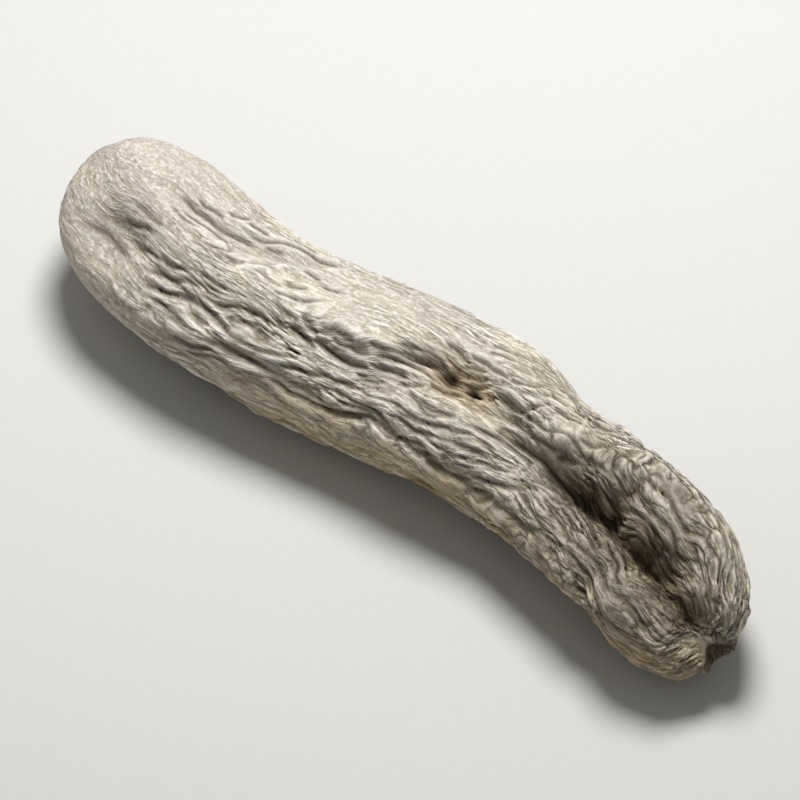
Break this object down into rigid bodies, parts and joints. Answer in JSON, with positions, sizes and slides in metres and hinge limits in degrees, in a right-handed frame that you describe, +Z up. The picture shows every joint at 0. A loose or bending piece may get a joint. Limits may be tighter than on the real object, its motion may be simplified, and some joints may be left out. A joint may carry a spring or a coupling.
{
  "type": "dried gastrodia tuber",
  "caption": "Whole dried root tuber, long and slightly flattened, bent in a gentle S, with a blunt head, a furrowed face and a tail parted into two lobes. It lies on its flat side.",
  "frame": {"origin": "under the middle of the tuber's box, on the surface that it lies on", "axes": "+X runs from the blunt head to the two-lobed tail, +Y to the upper edge of the pictured face, +Z up out of the furrowed face"},
  "size_m": [0.1078, 0.0306, 0.0196],
  "materials": {
    "dried_skin": "matte, dusty grey-buff, darker brown in the furrows"
  },
  "bodies": {
    "root": {"tuber": "dried_skin"}
  },
  "joints": []
}
